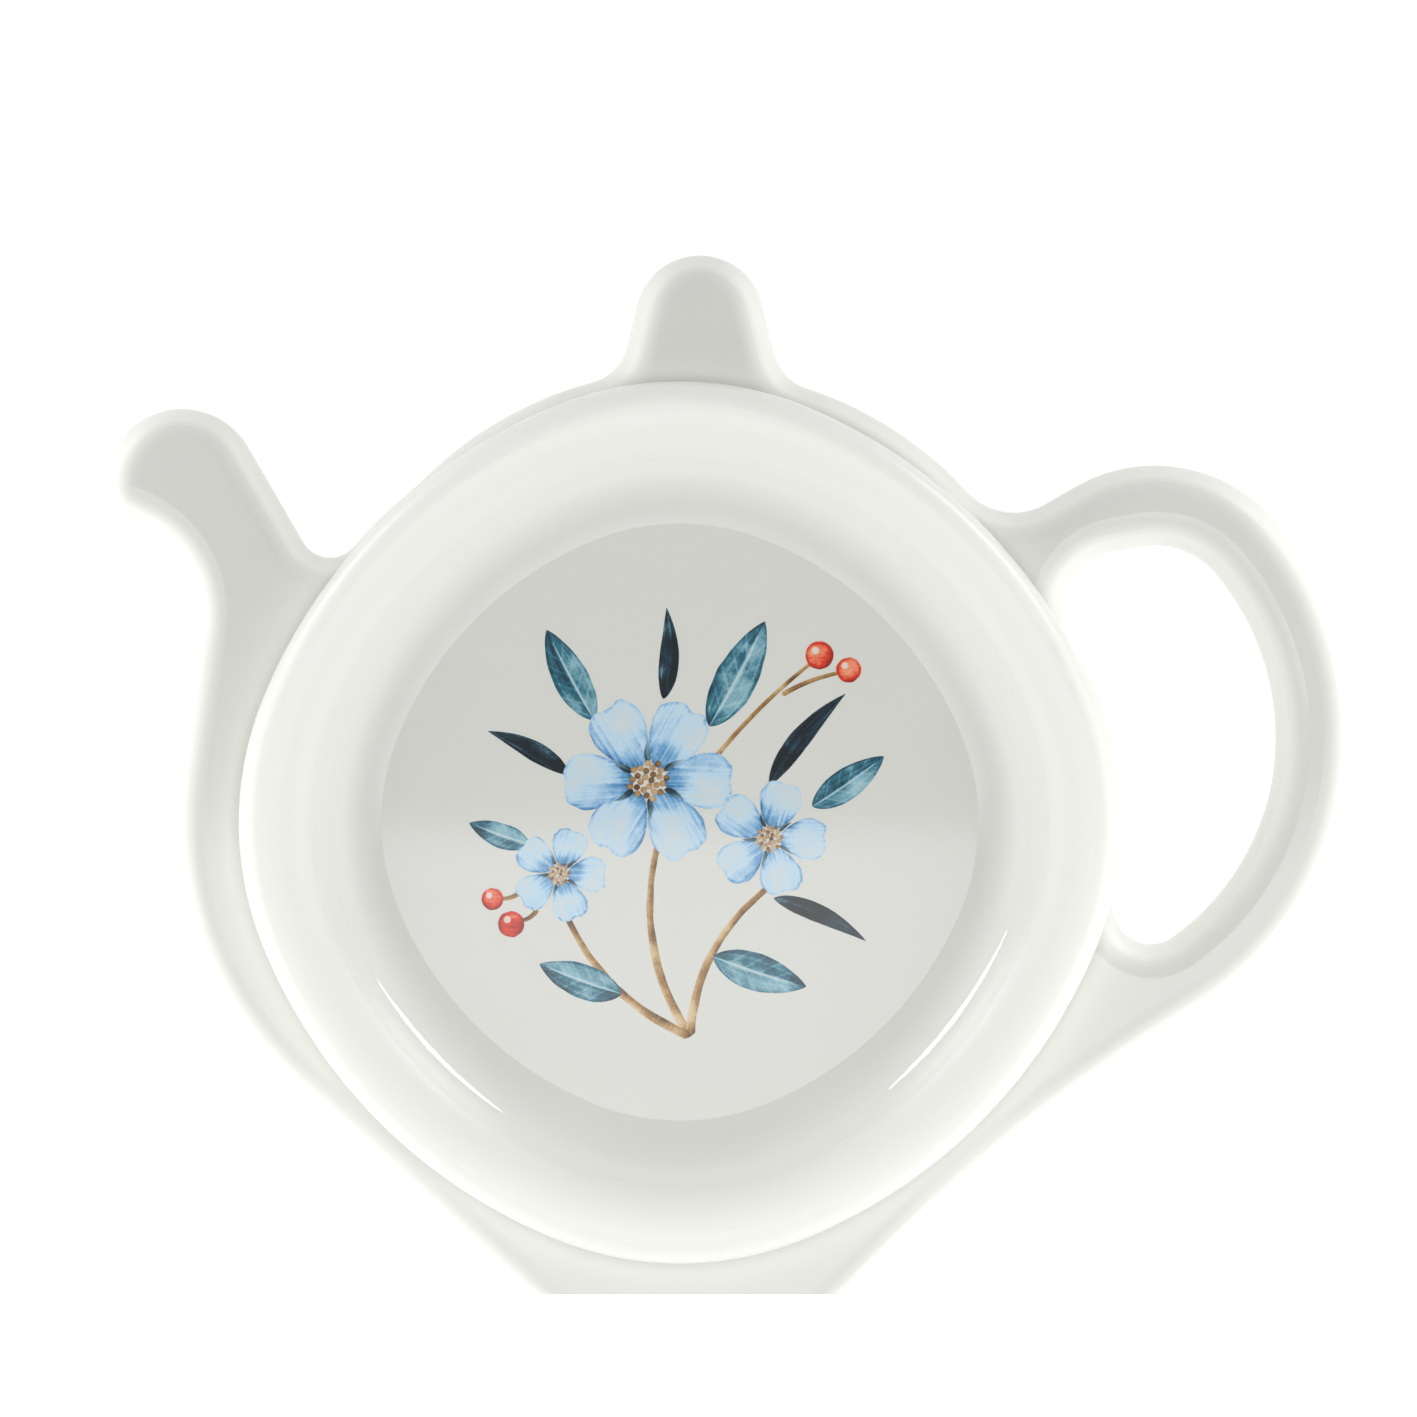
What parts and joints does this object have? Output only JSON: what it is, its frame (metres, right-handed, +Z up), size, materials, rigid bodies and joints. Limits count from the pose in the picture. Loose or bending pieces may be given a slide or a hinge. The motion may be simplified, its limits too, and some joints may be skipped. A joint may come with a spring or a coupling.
{
  "type": "tea bag rest",
  "caption": "Shallow glazed china dish in the outline of a teapot, with a round well, an open handle loop and a printed posy, for resting used tea bags.",
  "frame": {"origin": "on the table, on the axis of the bowl, where the plane of the foot ring meets that axis", "axes": "+Z up from the table, +X from the spout to the handle, +Y from the pot base to the knob"},
  "size_m": [0.1203, 0.0998, 0.0115],
  "materials": {
    "glazed_china": "clear gloss glaze on fine white china",
    "biscuit_china": "unglazed, wiped and fired matt",
    "enamel_light_blue": "fired enamel wash under gloss",
    "enamel_teal": "fired enamel wash under gloss",
    "enamel_navy": "fired enamel stroke under gloss",
    "enamel_red": "fired enamel wash under gloss",
    "enamel_ochre": "fired enamel stroke under gloss"
  },
  "bodies": {
    "root": {"bowl": "glazed_china", "spout": "glazed_china", "pot_base": "glazed_china", "handle": "glazed_china", "lid_knob": "glazed_china", "foot_ring": "biscuit_china", "print_petals": "enamel_light_blue", "print_leaves": "enamel_teal", "print_strokes": "enamel_navy", "print_berries": "enamel_red", "print_stems": "enamel_ochre"}
  },
  "joints": []
}
